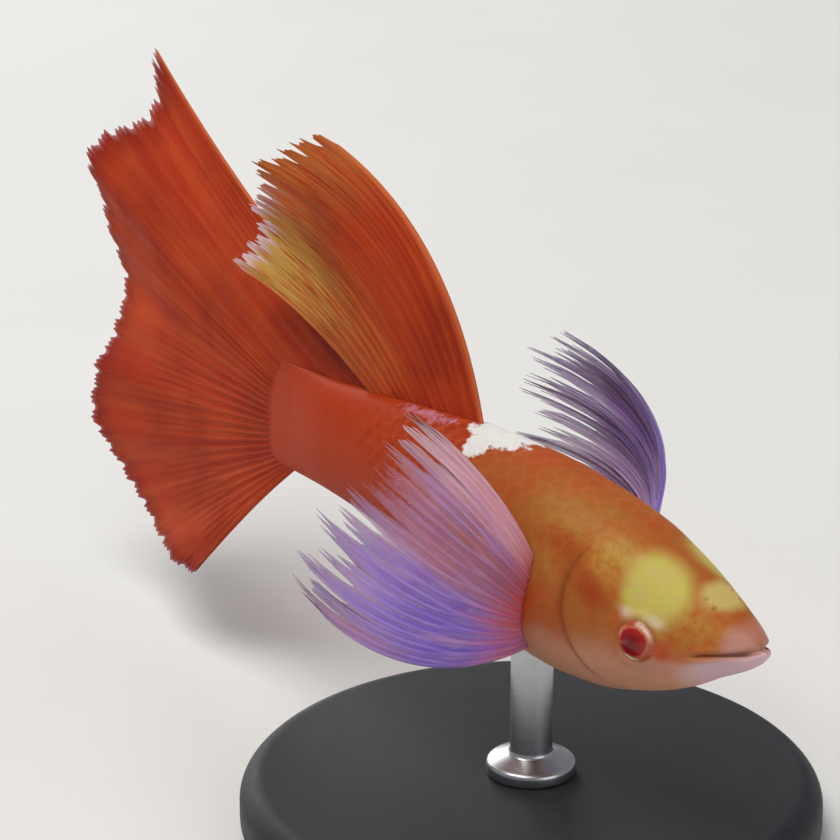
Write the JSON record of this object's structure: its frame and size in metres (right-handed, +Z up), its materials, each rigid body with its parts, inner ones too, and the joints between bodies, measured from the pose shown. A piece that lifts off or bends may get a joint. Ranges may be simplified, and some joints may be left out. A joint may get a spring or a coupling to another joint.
{
  "type": "fancy guppy",
  "caption": "Life-size fancy guppy model: red fan tail, tall dorsal fin and large pectoral fins, held level on a thin rod over a round display base.",
  "frame": {"origin": "centre of the underside of the round display base, under the rod", "axes": "+X towards the fish's snout, +Y to the fish's left, +Z up; the fish's nose points about 7 degrees down and its left side hangs about 5 degrees"},
  "size_m": [0.0445, 0.022, 0.0244],
  "materials": {
    "skin": "moist scaled skin, orange brown with yellow and white blotches",
    "eye": "wet glossy red eye with a pale ring",
    "red_fin": "thin red membrane over fine rays",
    "pearl_fin": "thin violet pearl membrane over fine rays",
    "base": "satin dark base",
    "rod": "brushed steel rod"
  },
  "bodies": {
    "root": {"head": "skin", "trunk": "skin", "peduncle": "skin", "eye_left": "eye", "eye_right": "eye", "caudal_fin": "red_fin", "dorsal_fin": "red_fin", "pectoral_fin_left": "pearl_fin", "pectoral_fin_right": "pearl_fin", "pelvic_fin_left": "red_fin", "pelvic_fin_right": "red_fin", "gonopodium": "red_fin", "stand_base": "base", "stand_rod": "rod"}
  },
  "joints": []
}
